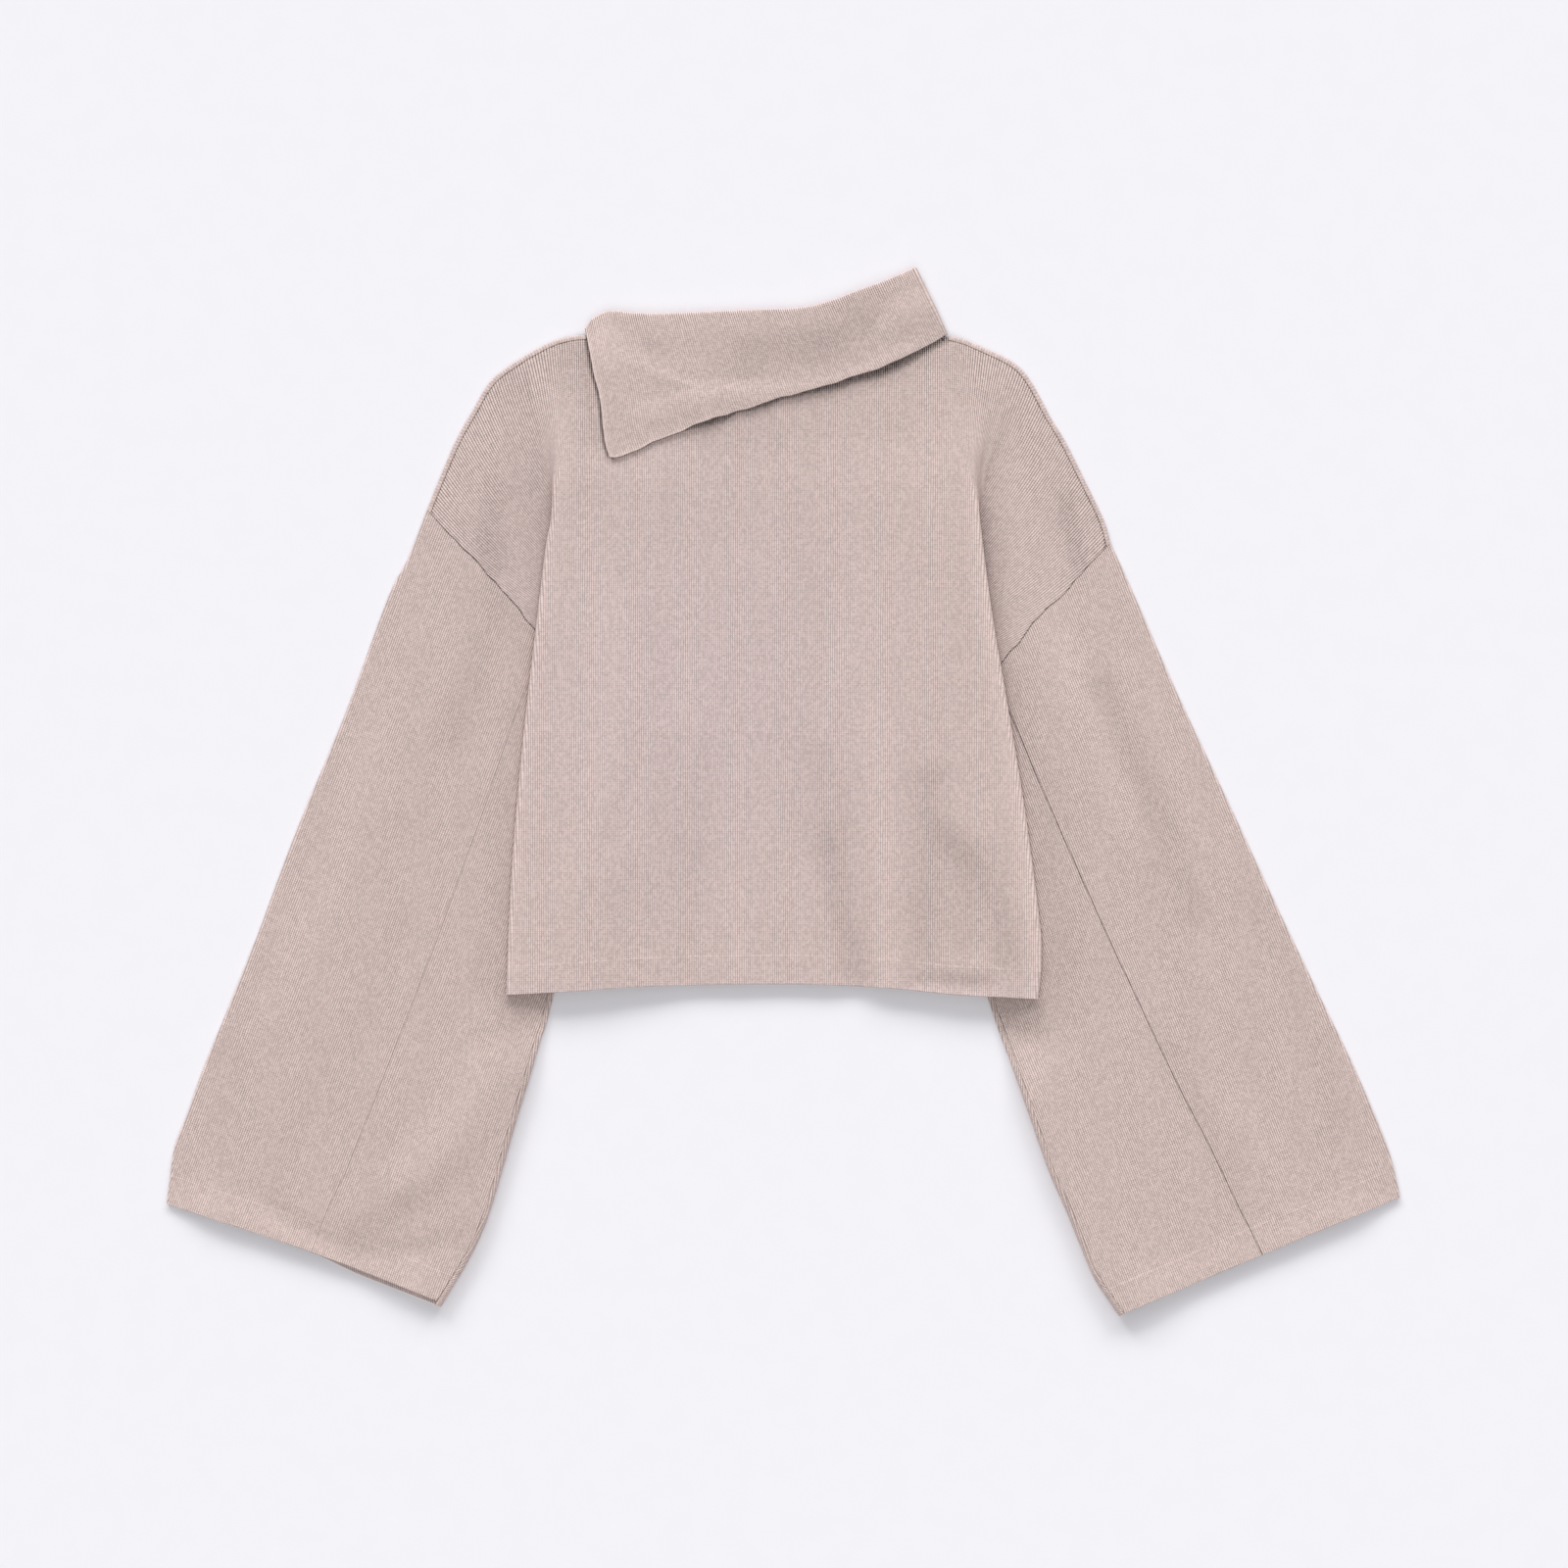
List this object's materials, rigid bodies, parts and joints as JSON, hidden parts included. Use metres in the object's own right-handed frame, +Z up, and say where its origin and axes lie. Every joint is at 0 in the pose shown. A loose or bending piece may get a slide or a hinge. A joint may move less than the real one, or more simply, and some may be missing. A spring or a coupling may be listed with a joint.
{
  "type": "cropped knit sweater",
  "caption": "Fine-knit cropped sweater with wide dropped sleeves and a slanted folded collar, laid flat face up with its sides folded under.",
  "frame": {"origin": "middle of the sweater's outline, on the surface that it lies on", "axes": "+X across the sweater to the right of someone who looks down on it, +Y from hem to neck, +Z up from the surface"},
  "size_m": [0.9086, 0.7716, 0.0118],
  "materials": {
    "knit": "matt fine rib knit of soft dusty rose-beige yarn"
  },
  "bodies": {
    "root": {"front_panel": "knit", "back_panel": "knit", "left_sleeve_main": "knit", "left_sleeve_underarm_panel": "knit", "right_sleeve_main": "knit", "right_sleeve_underarm_panel": "knit", "collar": "knit"}
  },
  "joints": []
}
